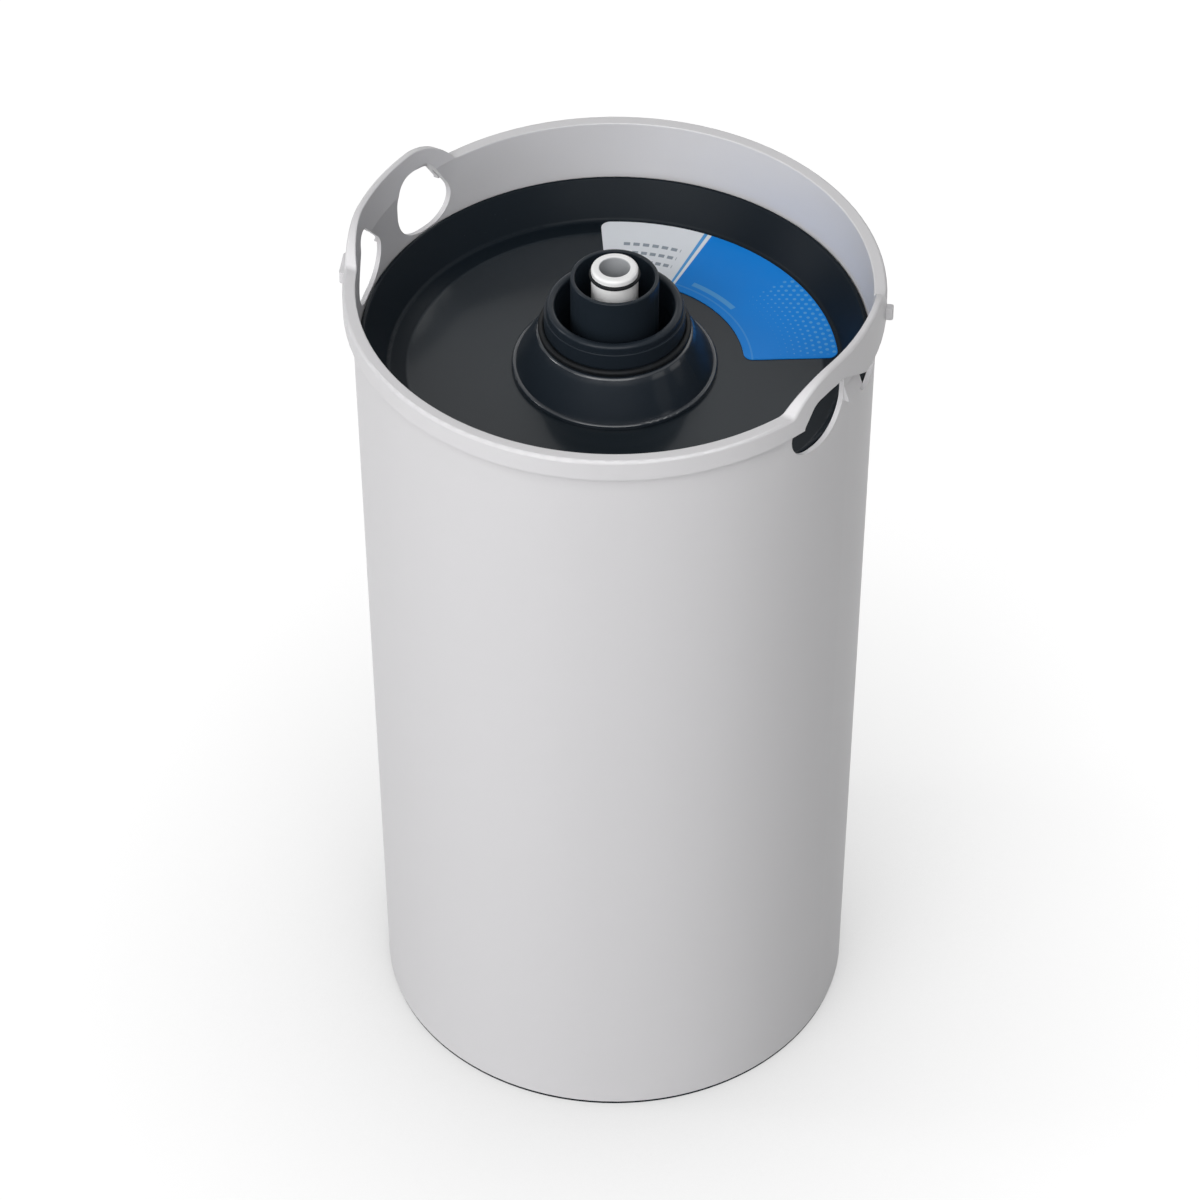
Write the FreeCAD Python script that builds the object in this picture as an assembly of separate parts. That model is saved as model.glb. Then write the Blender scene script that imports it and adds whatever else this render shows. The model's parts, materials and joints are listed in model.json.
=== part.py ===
# Water filter cartridge: a tall light grey sleeve with two finger-hole ears on its rim, round a dark
# sealed tank that holds the filter beds, with the tubes for the water rising through the lid.
# Millimetres. The cartridge stands on z = 0, its axis is Z, and the ears lie on +X and -X.
import FreeCAD, Part
import math
import os

os.makedirs("parts", exist_ok=True)

# Sleeve: a drafted cylinder, wider at the top, whose rim stands above the lid
SLEEVE_FOOT_R = 91.3
SLEEVE_WALL = 1.8
DRAFT = math.tan(math.radians(0.935))
RIM_ABOVE_LID = 24.7

# Band: the rim turns over and down outside the wall, with an open channel behind it
BAND_CHANNEL = 1.3
BAND_SKIN = 1.8
BAND_TOP = 2.0
BAND_HEIGHT = 8.4
RIM_ROUND = 1.2
RIM_INNER_ROUND = 0.5

# Ears: the rim rises from a tight corner at each foot in an arc to a level top, and leans outwards inside
EAR_RISE = 12.0
EAR_LEAN = 2.2
EAR_FLAT_Y = 16.0
EAR_FOOT_Y = 37.6
EAR_FOOT_ROUND = 2.5

# Finger holes in the wall: y, height over the rim and corner radius. Each ear has one of each kind
HOLE = [(5.8, 4.9, 10.0), (25.6, 4.9, 6.0), (41.8, -24.9, 10.5), (5.8, -24.9, 16.0)]
SLANTED_HOLE = [
    (7.4, -9.5, 8.0),
    (20.0, 4.9, 4.0),
    (25.6, 4.9, 5.5),
    (41.8, -24.9, 10.5),
    (7.4, -24.9, 12.0),
]
# Gap in the band over a hole, so that fingers reach it from outside
BAND_GAP = [
    (-32.8, -10.0),
    (-32.8, -7.4, 3.0),
    (-27.6, 1.2, 6.0),
    (-20.0, 2.4, 8.0),
    (-11.0, 2.4, 4.0),
    (10.0, -10.0),
]

# Wedge catch on the web between the two holes
CATCH_DROP = 13.6
CATCH_HEIGHT = 7.6
CATCH_WIDTH = 11.0
CATCH_PROUD = 2.2

# Locating lugs on the band, a narrow one beside the ear on +X and a wide one beside the other
NARROW_LUG_ANGLE = 20.4
NARROW_LUG_WIDTH = 3.2
NARROW_LUG_PROUD = 2.7
WIDE_LUG_ANGLE = 200.8
WIDE_LUG_WIDTH = 12.0
WIDE_LUG_PROUD = 1.5
LUG_DROP = 5.4
LUG_HEIGHT = 5.0
LUG_ROUND = 1.0

# Foot ring that the sleeve and the tank stand on
FOOT_FLANGE = 1.4
FOOT_SHELF = 3.0
FOOT_SHELF_WIDTH = 4.0
FOOT_HEIGHT = 12.0
FOOT_WALL = 5.1
SNAP_Z = 7.0
SNAP_PROUD = 0.5
SNAP_HALF = 1.0

# Tank
TANK_WALL = 2.5
TANK_HEIGHT = 297.0
TANK_FLOOR_LIFT = 7.0
TANK_FOOT_RIM = 5.7
TANK_FOOT_SLOPE = 2.0

# Lid of the tank: the dish floor with the neck in its middle
LID_FLOOR_LIFT = 5.5
LID_PLATE = 2.8
LID_LAND = 1.4
LID_TONGUE = 4.0
LID_TONGUE_WALL = 2.0
LID_EDGE_ROUND = 0.6
DISH_WALL_HEIGHT = 13.8
DISH_WALL_RUN = 8.4
DISH_FLOOR_ROUND = 2.0
NECK_HEIGHT = 16.8
NECK_LAND = 2.6
NECK_SPREAD = 9.7
NECK_BEAD_HEIGHT = 2.0
NECK_BEAD_WIDTH = 1.5
NECK_BEAD_ROUND = 1.0
NECK_EDGE_ROUND = 1.5
NECK_BOSS_WALL = 3.0
NECK_SEAT_LIFT = 0.5
NECK_POCKET = 7.0

# Collar that stands in the neck, a little thinner below its seal
COLLAR_R = 26.2
COLLAR_WALL = 4.1
COLLAR_RELIEF = 0.4
COLLAR_ABOVE_NECK = 12.0
COLLAR_LIP_HEIGHT = 3.1
COLLAR_LIP_SET = 0.9
COLLAR_LIP_ROUND = 1.3
COLLAR_STEP_ROUND = 0.3
COLLAR_FLANGE_PROUD = 2.5
COLLAR_FLANGE = 3.0
COLLAR_SEAL_SECTION_R = 1.3
LEDGE_DROP = 6.0
LEDGE_WIDTH = 2.1
LEDGE = 3.0

# Dark port tube inside the collar, held by fins on the collar's ledge
PORT_R = 16.3
PORT_WALL = 1.6
PORT_ABOVE_COLLAR = 12.7
PORT_RELIEF = 0.3
PORT_SOCKET = 14.0
PORT_STOP = 2.0
PORT_STOP_SLOPE = 2.0
PORT_EDGE_ROUND = 0.5
PORT_FINS = 4
FIN_WIDTH = 3.0
FIN_HEIGHT = 4.0

# White outlet spigot inside the port tube
SPIGOT_R = 8.7
SPIGOT_WALL = 3.1
SPIGOT_ABOVE_PORT = 4.6
SPIGOT_DEPTH = 38.0
SPIGOT_SEAT = 3.0
SPIGOT_SEAT_WIDTH = 1.7
SPIGOT_SEAT_SLOPE = 1.0
SPIGOT_FINS = 3
SPIGOT_SOCKET = 8.0
SPIGOT_SOCKET_WALL = 1.0
SPIGOT_EDGE_ROUND = 1.2
SPIGOT_SEAL_DROP = 3.3
SPIGOT_SEAL_SECTION_R = 0.8

# Tubes below the port: the riser for treated water, and round it the bypass tube with its diffuser
RISER_WALL = 2.4
RISER_LIFT = 10.0
RISER_SEAL_LIFT = 8.0
RISER_SEAL_SECTION_R = 0.8
BYPASS_R = 12.0
BYPASS_WALL = 1.6
BYPASS_LIFT = 20.0
DIFFUSER_WALL = 2.8
DIFFUSER_CUP = 10.0
DIFFUSER_GRIP = 5.0
DIFFUSER_FLOOR = 2.0
DIFFUSER_SLOTS = 8
DIFFUSER_SLOT_WIDTH = 4.0
DIFFUSER_SLOT_HEIGHT = 6.0

# Filter beds, from the bottom plate upwards; the resin fills what the others leave
FINE_FILTER = 4.0
CARBON_BED = 40.0
MIDDLE_FLEECE = 3.0
TOP_FLEECE = 6.0

# Distributor plate on columns under the lid
PLATE = 3.0
PLATE_HOLE_R = 3.0
PLATE_HOLE_RING_R = [28.0, 45.0, 74.0]
PLATE_HOLE_COUNTS = [8, 12, 18]
COLUMN_R = 3.0
COLUMN_RING_R = 60.0
COLUMN_HEIGHT = 25.7
COLUMN_COUNT = 6

# Collector under the beds, with the hub for the riser
COLLECTOR_HEIGHT = 8.0
COLLECTOR_PLATE = 2.0
COLLECTOR_RIB_COUNT = 8
COLLECTOR_RIB_WIDTH = 3.0
COLLECTOR_RIB_R = 78.0
HUB_WALL = 3.2
HUB_GRIP = 14.0
HUB_SLOT_HEIGHT = 5.0
HUB_SLOT_WIDTH = 3.0
SEAL_GROOVE_EXTRA = 0.4

# Label on the dish floor, from and to these angles about the axis
LABEL_FROM_NECK = 9.9
LABEL_START = 30.0
LABEL_END = 121.5
LABEL_THICKNESS = 0.4
LABEL_CORNER_R = 3.5

# Fits
SLIDE = 0.2
LOOSE = 0.3
SNUG = 0.1
SLEEVE_CLEAR = 0.5
SNAP_CLEAR = 0.4
END_CLEAR = 0.3

# Heights and radii that follow from the sizes above
TANK_FLOOR_Z = FOOT_SHELF + TANK_FLOOR_LIFT
TANK_TOP_Z = FOOT_SHELF + TANK_HEIGHT
LID_FLOOR_Z = TANK_TOP_Z + LID_FLOOR_LIFT
LID_UNDER_Z = LID_FLOOR_Z - LID_PLATE
LID_TOP_Z = LID_FLOOR_Z + DISH_WALL_HEIGHT
RIM_TOP_Z = LID_TOP_Z + RIM_ABOVE_LID
BAND_LOW_Z = RIM_TOP_Z - BAND_HEIGHT
EAR_TOP_Z = RIM_TOP_Z + EAR_RISE
NECK_SEAT_Z = LID_FLOOR_Z + NECK_SEAT_LIFT
NECK_SHOULDER_Z = LID_FLOOR_Z + NECK_HEIGHT
COLLAR_GRIP_Z = NECK_SHOULDER_Z + 2 * COLLAR_SEAL_SECTION_R + SLIDE
COLLAR_TOP_Z = NECK_SHOULDER_Z + COLLAR_ABOVE_NECK
LEDGE_Z = NECK_SEAT_Z - LEDGE_DROP
PORT_TOP_Z = COLLAR_TOP_Z + PORT_ABOVE_COLLAR
SPIGOT_TOP_Z = PORT_TOP_Z + SPIGOT_ABOVE_PORT
SPIGOT_SEAT_Z = PORT_TOP_Z - SPIGOT_DEPTH
SPIGOT_SEAL_Z = SPIGOT_TOP_Z - SPIGOT_SEAL_DROP
FINE_LOW_Z = TANK_FLOOR_Z + COLLECTOR_HEIGHT
CARBON_LOW_Z = FINE_LOW_Z + FINE_FILTER
MIDDLE_FLEECE_LOW_Z = CARBON_LOW_Z + CARBON_BED
RESIN_LOW_Z = MIDDLE_FLEECE_LOW_Z + MIDDLE_FLEECE
PLATE_LOW_Z = LID_UNDER_Z - COLUMN_HEIGHT - PLATE
TOP_FLEECE_LOW_Z = PLATE_LOW_Z - TOP_FLEECE
BYPASS_LOW_Z = RESIN_LOW_Z + BYPASS_LIFT
DIFFUSER_LOW_Z = BYPASS_LOW_Z - DIFFUSER_CUP
DIFFUSER_TOP_Z = BYPASS_LOW_Z + DIFFUSER_GRIP
RISER_LOW_Z = TANK_FLOOR_Z + RISER_LIFT
RISER_SEAL_Z = RISER_LOW_Z + RISER_SEAL_LIFT
HUB_TOP_Z = RISER_LOW_Z + HUB_GRIP

COLLAR_FOOT_R = COLLAR_R - COLLAR_RELIEF
COLLAR_BORE_R = COLLAR_R - COLLAR_WALL
LEDGE_BORE_R = COLLAR_BORE_R - LEDGE_WIDTH
NECK_BORE_R = COLLAR_FOOT_R + SLIDE
NECK_TOP_R = NECK_BORE_R + NECK_LAND
NECK_FOOT_R = NECK_TOP_R + NECK_SPREAD
PORT_BORE_R = PORT_R - PORT_WALL
SPIGOT_BORE_R = SPIGOT_R - SPIGOT_WALL
SPIGOT_SOCKET_R = SPIGOT_R - SPIGOT_SOCKET_WALL
RISER_R = SPIGOT_SOCKET_R - SNUG
RISER_BORE_R = RISER_R - RISER_WALL
BYPASS_BORE_R = BYPASS_R - BYPASS_WALL
BYPASS_SOCKET_R = BYPASS_R + SLIDE
DIFFUSER_R = BYPASS_SOCKET_R + DIFFUSER_WALL
HUB_R = RISER_R + SLIDE + HUB_WALL


def sleeve_r(z):
    """Outer radius of the sleeve's wall at height z."""
    return SLEEVE_FOOT_R + DRAFT * z


def sleeve_bore_r(z):
    return sleeve_r(z) - SLEEVE_WALL


def ear_bore_r(z):
    """Radius of an ear's inside at height z, over the rim."""
    return sleeve_bore_r(RIM_TOP_Z) + EAR_LEAN * (z - RIM_TOP_Z) / EAR_RISE


def tank_r(z):
    return sleeve_bore_r(z) - SLEEVE_CLEAR


def tank_bore_r(z):
    return tank_r(z) - TANK_WALL


BAND_SKIN_R = sleeve_r(RIM_TOP_Z) + BAND_CHANNEL
BAND_R = BAND_SKIN_R + BAND_SKIN
DISH_TOP_R = tank_r(LID_TOP_Z) - LID_LAND
DISH_FLOOR_R = DISH_TOP_R - DISH_WALL_RUN


def in_xz(u, v):
    return FreeCAD.Vector(u, 0, v)


def in_yz(u, v):
    return FreeCAD.Vector(0, u, v)


def in_xy(u, v):
    return FreeCAD.Vector(u, v, 0)


def face(corners, plane):
    """Face through the corners; a corner with a third value is rounded with that radius."""
    stations = []
    for i, corner in enumerate(corners):
        here = plane(corner[0], corner[1])
        radius = corner[2] if len(corner) > 2 else 0.0
        if radius == 0.0:
            stations.append((here, here, here))
            continue
        before = corners[i - 1]
        after = corners[(i + 1) % len(corners)]
        back = (plane(before[0], before[1]) - here).normalize()
        ahead = (plane(after[0], after[1]) - here).normalize()
        half = back.getAngle(ahead) / 2
        reach = radius / math.tan(half)
        middle = (back + ahead).normalize() * (radius / math.sin(half) - radius)
        stations.append((here + back * reach, here + middle, here + ahead * reach))
    edges = []
    for i, (start, middle, end) in enumerate(stations):
        if start.distanceToPoint(end) > 1e-6:
            edges.append(Part.Arc(start, middle, end).toShape())
        following = stations[(i + 1) % len(stations)][0]
        if end.distanceToPoint(following) > 1e-6:
            edges.append(Part.makeLine(end, following))
    return Part.Face(Part.Wire(edges))


def turned(corners):
    """Solid of revolution about the cartridge's axis, from corners in radius and height."""
    return face(corners, in_xz).revolve(FreeCAD.Vector(0, 0, 0), FreeCAD.Vector(0, 0, 1), 360)


def tube(outer_r, inner_r, low_z, top_z):
    return turned([(inner_r, low_z), (outer_r, low_z), (outer_r, top_z), (inner_r, top_z)])


def rod(radius, low_z, top_z, x=0.0, y=0.0):
    return Part.makeCylinder(radius, top_z - low_z, FreeCAD.Vector(x, y, low_z))


def seal(centre_r, section_r, z):
    return Part.makeTorus(centre_r, section_r, FreeCAD.Vector(0, 0, z))


def turn(shape, degrees):
    copy = shape.copy()
    copy.rotate(FreeCAD.Vector(0, 0, 0), FreeCAD.Vector(0, 0, 1), degrees)
    return copy


def spoke(width, in_r, out_r, low_z, top_z):
    """Radial bar on +X."""
    corner = FreeCAD.Vector(in_r, -width / 2, low_z)
    return Part.makeBox(out_r - in_r, width, top_z - low_z, corner)


def spokes(count, width, in_r, out_r, low_z, top_z, first=0.0):
    bars = []
    for i in range(count):
        bars.append(turn(spoke(width, in_r, out_r, low_z, top_z), first + 360.0 * i / count))
    return bars


def under_rim():
    """Everything below the rim's contour, which is flat and raised over the ears."""
    half = math.atan2(EAR_RISE, EAR_FOOT_Y - EAR_FLAT_Y)
    climb = EAR_RISE / math.sin(2 * half)
    crest_round = climb / math.tan(half) - EAR_FOOT_ROUND
    foot_y = EAR_FOOT_Y
    crest_y = EAR_FOOT_Y - climb * math.cos(2 * half)
    far = 2 * BAND_R
    plate = face([
        (far, 0.0),
        (far, RIM_TOP_Z),
        (foot_y, RIM_TOP_Z, EAR_FOOT_ROUND),
        (crest_y, EAR_TOP_Z, crest_round),
        (-crest_y, EAR_TOP_Z, crest_round),
        (-foot_y, RIM_TOP_Z, EAR_FOOT_ROUND),
        (-far, RIM_TOP_Z),
        (-far, 0.0),
    ], in_yz)
    plate.translate(FreeCAD.Vector(-far, 0, 0))
    return plate.extrude(FreeCAD.Vector(2 * far, 0, 0))


def sleeve_wall():
    foot_z = FOOT_FLANGE
    groove_r = sleeve_bore_r(SNAP_Z) + SNAP_PROUD
    half = SNAP_HALF + END_CLEAR
    corners = [
        (sleeve_bore_r(foot_z), foot_z),
        (sleeve_r(foot_z), foot_z),
        (sleeve_r(EAR_TOP_Z), EAR_TOP_Z),
        (sleeve_bore_r(EAR_TOP_Z), EAR_TOP_Z),
        (sleeve_bore_r(SNAP_Z + half), SNAP_Z + half),
        (groove_r, SNAP_Z),
        (sleeve_bore_r(SNAP_Z - half), SNAP_Z - half),
    ]
    return turned(corners).common(under_rim())


def from_rim(corners, side=1):
    """Corners given over the rim's top, at their real height; side -1 mirrors them in y."""
    return [(side * corner[0], RIM_TOP_Z + corner[1]) + corner[2:] for corner in corners]


def hole_cutter(corners, side):
    """One finger hole through the wall on +X, up to the inside of the band's skin."""
    hole = face(from_rim(corners, side), in_yz).extrude(FreeCAD.Vector(BAND_R, 0, 0))
    return hole.common(rod(BAND_SKIN_R, 0.0, EAR_TOP_Z))


def gap_cutter(side):
    """The gap in the band's skin over one finger hole on +X."""
    gap = face(from_rim(BAND_GAP, side), in_yz).extrude(FreeCAD.Vector(2 * BAND_R, 0, 0))
    return gap.cut(rod(BAND_SKIN_R - BAND_CHANNEL / 4, 0.0, EAR_TOP_Z))


def band():
    """Outer skin of the rim, the top that joins it to the wall, and the ears above."""
    root_r = sleeve_r(RIM_TOP_Z) - SLEEVE_WALL / 2
    skin = tube(BAND_R, BAND_SKIN_R, BAND_LOW_Z, EAR_TOP_Z)
    crown = tube(BAND_R, root_r, RIM_TOP_Z - BAND_TOP, EAR_TOP_Z)
    return skin.fuse(crown).common(under_rim())


def ear_room():
    """Room inside the ears, wider towards their top."""
    return turned([
        (0.0, RIM_TOP_Z),
        (ear_bore_r(RIM_TOP_Z), RIM_TOP_Z),
        (ear_bore_r(EAR_TOP_Z + END_CLEAR), EAR_TOP_Z + END_CLEAR),
        (0.0, EAR_TOP_Z + END_CLEAR),
    ])


def catch():
    low_z = RIM_TOP_Z - CATCH_DROP
    top_z = low_z + CATCH_HEIGHT
    root = sleeve_bore_r(low_z) + SLEEVE_WALL / 2
    proud = sleeve_r(low_z) + CATCH_PROUD
    sunk = sleeve_r(top_z) - SLEEVE_WALL / 4
    wedge = face([(root, low_z), (proud, low_z), (sunk, top_z), (root, top_z)], in_xz)
    wedge.translate(FreeCAD.Vector(0, -CATCH_WIDTH / 2, 0))
    return wedge.extrude(FreeCAD.Vector(0, CATCH_WIDTH, 0))


def lug(angle, width, proud):
    root = BAND_R - BAND_SKIN / 2
    tip = BAND_R + proud
    half = width / 2
    plan = face([(root, -half), (tip, -half, LUG_ROUND), (tip, half, LUG_ROUND), (root, half)], in_xy)
    plan.translate(FreeCAD.Vector(0, 0, RIM_TOP_Z - LUG_DROP))
    return turn(plan.extrude(FreeCAD.Vector(0, 0, LUG_HEIGHT)), angle)


def rim_edges(body, radius):
    """The edges that run along the top of the rim at that radius."""
    found = []
    for edge in body.Edges:
        middle = (edge.FirstParameter + edge.LastParameter) / 2
        point = edge.valueAt(middle)
        off_radius = abs(math.hypot(point.x, point.y) - radius(point.z))
        upright = abs(edge.tangentAt(middle).z) > 0.99
        if off_radius < 0.01 and point.z > RIM_TOP_Z - 0.01 and not upright:
            found.append(edge)
    return found


def outer_sleeve():
    body = sleeve_wall().fuse(band()).cut(ear_room()).removeSplitter()
    body = body.makeFillet(RIM_ROUND, rim_edges(body, lambda z: BAND_R))
    body = body.makeFillet(RIM_INNER_ROUND, rim_edges(body, ear_bore_r))
    cutters = [gap_cutter(1), turn(gap_cutter(1), 180), turn(gap_cutter(-1), 180)]
    extras = []
    for half_turn in (0, 180):
        cutters.append(turn(hole_cutter(HOLE, -1), half_turn))
        cutters.append(turn(hole_cutter(SLANTED_HOLE, 1), half_turn))
        extras.append(turn(catch(), half_turn))
    extras.append(lug(NARROW_LUG_ANGLE, NARROW_LUG_WIDTH, NARROW_LUG_PROUD))
    extras.append(lug(WIDE_LUG_ANGLE, WIDE_LUG_WIDTH, WIDE_LUG_PROUD))
    return body.cut(cutters).fuse(extras).removeSplitter()


def foot_ring():
    wall_r = sleeve_bore_r(0.0) - SNAP_CLEAR
    shelf_r = wall_r - FOOT_WALL
    bore_r = shelf_r - FOOT_SHELF_WIDTH
    flange_r = sleeve_r(0.0) - SNAP_CLEAR
    bead_r = wall_r + SNAP_PROUD
    return turned([
        (bore_r, 0.0),
        (flange_r, 0.0),
        (flange_r, FOOT_FLANGE),
        (wall_r, FOOT_FLANGE),
        (wall_r, SNAP_Z - SNAP_HALF),
        (bead_r, SNAP_Z),
        (wall_r, SNAP_Z + SNAP_HALF),
        (wall_r, FOOT_HEIGHT),
        (shelf_r, FOOT_HEIGHT),
        (shelf_r, FOOT_SHELF),
        (bore_r, FOOT_SHELF),
    ])


def tank_shell():
    foot_r = sleeve_bore_r(0.0) - SNAP_CLEAR - FOOT_WALL - LOOSE
    hollow_r = foot_r - TANK_FOOT_RIM
    under_z = TANK_FLOOR_Z - TANK_WALL
    shoulder_z = FOOT_HEIGHT + LOOSE
    inner_shoulder_z = shoulder_z + TANK_WALL
    return turned([
        (0.0, under_z),
        (hollow_r - TANK_FOOT_SLOPE, under_z),
        (hollow_r, FOOT_SHELF),
        (foot_r, FOOT_SHELF),
        (foot_r, shoulder_z),
        (tank_r(shoulder_z), shoulder_z),
        (tank_r(TANK_TOP_Z), TANK_TOP_Z),
        (tank_bore_r(TANK_TOP_Z), TANK_TOP_Z),
        (tank_bore_r(inner_shoulder_z), inner_shoulder_z),
        (foot_r - TANK_WALL, inner_shoulder_z),
        (foot_r - TANK_WALL, TANK_FLOOR_Z),
        (0.0, TANK_FLOOR_Z),
    ])


def tank_lid():
    top_r = tank_r(LID_TOP_Z)
    tongue_r = tank_bore_r(TANK_TOP_Z) - SLIDE
    hollow_r = tongue_r - LID_TONGUE_WALL
    boss_r = NECK_BORE_R + NECK_BOSS_WALL
    climb = (hollow_r - DISH_FLOOR_R) * DISH_WALL_HEIGHT / DISH_WALL_RUN
    return turned([
        (NECK_BORE_R, NECK_SEAT_Z),
        (NECK_BORE_R, NECK_SHOULDER_Z),
        (NECK_TOP_R, NECK_SHOULDER_Z, NECK_EDGE_ROUND),
        (NECK_FOOT_R - NECK_BEAD_WIDTH, LID_FLOOR_Z + NECK_BEAD_HEIGHT),
        (NECK_FOOT_R, LID_FLOOR_Z + NECK_BEAD_HEIGHT, NECK_BEAD_ROUND),
        (NECK_FOOT_R, LID_FLOOR_Z),
        (DISH_FLOOR_R, LID_FLOOR_Z, DISH_FLOOR_ROUND),
        (DISH_TOP_R, LID_TOP_Z, LID_EDGE_ROUND),
        (top_r, LID_TOP_Z, LID_EDGE_ROUND),
        (tank_r(TANK_TOP_Z), TANK_TOP_Z),
        (tongue_r, TANK_TOP_Z),
        (tongue_r, TANK_TOP_Z - LID_TONGUE),
        (hollow_r, TANK_TOP_Z - LID_TONGUE),
        (hollow_r, LID_FLOOR_Z + climb - 2 * LID_PLATE),
        (DISH_FLOOR_R + LID_PLATE / 2, LID_UNDER_Z),
        (NECK_FOOT_R - LID_PLATE / 2, LID_UNDER_Z),
        (boss_r + LID_PLATE / 2, NECK_SEAT_Z + NECK_POCKET),
        (boss_r, NECK_SEAT_Z + NECK_POCKET),
        (boss_r, NECK_SEAT_Z),
    ])


def lid_label():
    """Label from beside the neck's foot to where the dish floor starts to round up into its wall."""
    slope = math.atan2(DISH_WALL_HEIGHT, DISH_WALL_RUN)
    out_r = DISH_FLOOR_R - DISH_FLOOR_ROUND * math.tan(slope / 2) - SNUG
    in_r = NECK_FOOT_R + LABEL_FROM_NECK
    top_z = LID_FLOOR_Z + LABEL_THICKNESS
    section = face([(in_r, LID_FLOOR_Z), (out_r, LID_FLOOR_Z), (out_r, top_z), (in_r, top_z)], in_xz)
    origin = FreeCAD.Vector(0, 0, 0)
    sheet = section.revolve(origin, FreeCAD.Vector(0, 0, 1), LABEL_END - LABEL_START)
    upright = []
    for edge in sheet.Edges:
        if abs(edge.Length - LABEL_THICKNESS) < 1e-6:
            upright.append(edge)
    return turn(sheet.makeFillet(LABEL_CORNER_R, upright), LABEL_START)


def neck_collar():
    """Collar that hangs in the neck's bore by its flange and carries the seal above the neck."""
    step_z = COLLAR_TOP_Z - COLLAR_LIP_HEIGHT
    lip_r = COLLAR_R - COLLAR_LIP_SET
    flange_r = COLLAR_FOOT_R + COLLAR_FLANGE_PROUD
    flange_low = NECK_SEAT_Z - COLLAR_FLANGE
    return turned([
        (LEDGE_BORE_R, LEDGE_Z - LEDGE),
        (COLLAR_FOOT_R, LEDGE_Z - LEDGE),
        (COLLAR_FOOT_R, flange_low),
        (flange_r, flange_low),
        (flange_r, NECK_SEAT_Z),
        (COLLAR_FOOT_R, NECK_SEAT_Z),
        (COLLAR_FOOT_R, COLLAR_GRIP_Z),
        (COLLAR_R, COLLAR_GRIP_Z),
        (COLLAR_R, step_z, COLLAR_STEP_ROUND),
        (lip_r, step_z),
        (lip_r, COLLAR_TOP_Z, COLLAR_LIP_ROUND),
        (COLLAR_BORE_R, COLLAR_TOP_Z, COLLAR_LIP_ROUND),
        (COLLAR_BORE_R, LEDGE_Z),
        (LEDGE_BORE_R, LEDGE_Z),
    ])


def collar_seal():
    centre_r = COLLAR_FOOT_R + COLLAR_SEAL_SECTION_R
    return seal(centre_r, COLLAR_SEAL_SECTION_R, NECK_SHOULDER_Z + COLLAR_SEAL_SECTION_R)


def port_tube():
    foot_r = PORT_R - PORT_RELIEF
    fin_top = LEDGE_Z + FIN_HEIGHT
    seat_r = PORT_BORE_R - SPIGOT_SEAT_WIDTH
    seat_low = SPIGOT_SEAT_Z - SPIGOT_SEAT
    body = turned([
        (BYPASS_SOCKET_R, LEDGE_Z - PORT_SOCKET),
        (foot_r, LEDGE_Z - PORT_SOCKET),
        (foot_r, fin_top + LOOSE),
        (PORT_R, fin_top + LOOSE),
        (PORT_R, PORT_TOP_Z, PORT_EDGE_ROUND),
        (PORT_BORE_R, PORT_TOP_Z, PORT_EDGE_ROUND),
        (PORT_BORE_R, SPIGOT_SEAT_Z),
        (seat_r, SPIGOT_SEAT_Z),
        (seat_r, seat_low),
        (PORT_BORE_R, seat_low - SPIGOT_SEAT_SLOPE),
        (PORT_BORE_R, LEDGE_Z + PORT_STOP + PORT_STOP_SLOPE),
        (BYPASS_BORE_R, LEDGE_Z + PORT_STOP),
        (BYPASS_BORE_R, LEDGE_Z),
        (BYPASS_SOCKET_R, LEDGE_Z),
    ])
    fins = spokes(PORT_FINS, FIN_WIDTH, PORT_BORE_R, COLLAR_BORE_R - SLIDE, LEDGE_Z, fin_top, 45.0)
    bore = rod(PORT_BORE_R + PORT_WALL / 4, LEDGE_Z, fin_top)
    return body.fuse([fin.cut(bore) for fin in fins]).removeSplitter()


def outlet_spigot():
    socket_top = SPIGOT_SEAT_Z + SPIGOT_SOCKET + END_CLEAR
    groove_r = SPIGOT_R - SPIGOT_SEAL_SECTION_R
    groove_half = SPIGOT_SEAL_SECTION_R + SEAL_GROOVE_EXTRA / 4
    body = turned([
        (SPIGOT_SOCKET_R, SPIGOT_SEAT_Z),
        (SPIGOT_R, SPIGOT_SEAT_Z),
        (SPIGOT_R, SPIGOT_SEAL_Z - groove_half),
        (groove_r, SPIGOT_SEAL_Z - groove_half),
        (groove_r, SPIGOT_SEAL_Z + groove_half),
        (SPIGOT_R, SPIGOT_SEAL_Z + groove_half),
        (SPIGOT_R, SPIGOT_TOP_Z, SPIGOT_EDGE_ROUND),
        (SPIGOT_BORE_R, SPIGOT_TOP_Z, PORT_EDGE_ROUND),
        (SPIGOT_BORE_R, socket_top),
        (SPIGOT_SOCKET_R, socket_top),
    ])
    fin_top = SPIGOT_SEAT_Z + FIN_HEIGHT
    tip_r = PORT_BORE_R - SNUG
    fins = spokes(SPIGOT_FINS, FIN_WIDTH, SPIGOT_SOCKET_R, tip_r, SPIGOT_SEAT_Z, fin_top, 90.0)
    bore = rod(SPIGOT_SOCKET_R + SPIGOT_SOCKET_WALL / 4, SPIGOT_SEAT_Z, fin_top)
    return body.fuse([fin.cut(bore) for fin in fins]).removeSplitter()


def spigot_seal():
    return seal(SPIGOT_R, SPIGOT_SEAL_SECTION_R, SPIGOT_SEAL_Z)


def riser_tube():
    return tube(RISER_R, RISER_BORE_R, RISER_LOW_Z, SPIGOT_SEAT_Z + SPIGOT_SOCKET)


def riser_seal():
    return seal(RISER_R + RISER_SEAL_SECTION_R, RISER_SEAL_SECTION_R, RISER_SEAL_Z + RISER_SEAL_SECTION_R)


def bypass_tube():
    return tube(BYPASS_R, BYPASS_BORE_R, BYPASS_LOW_Z, LEDGE_Z)


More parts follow.
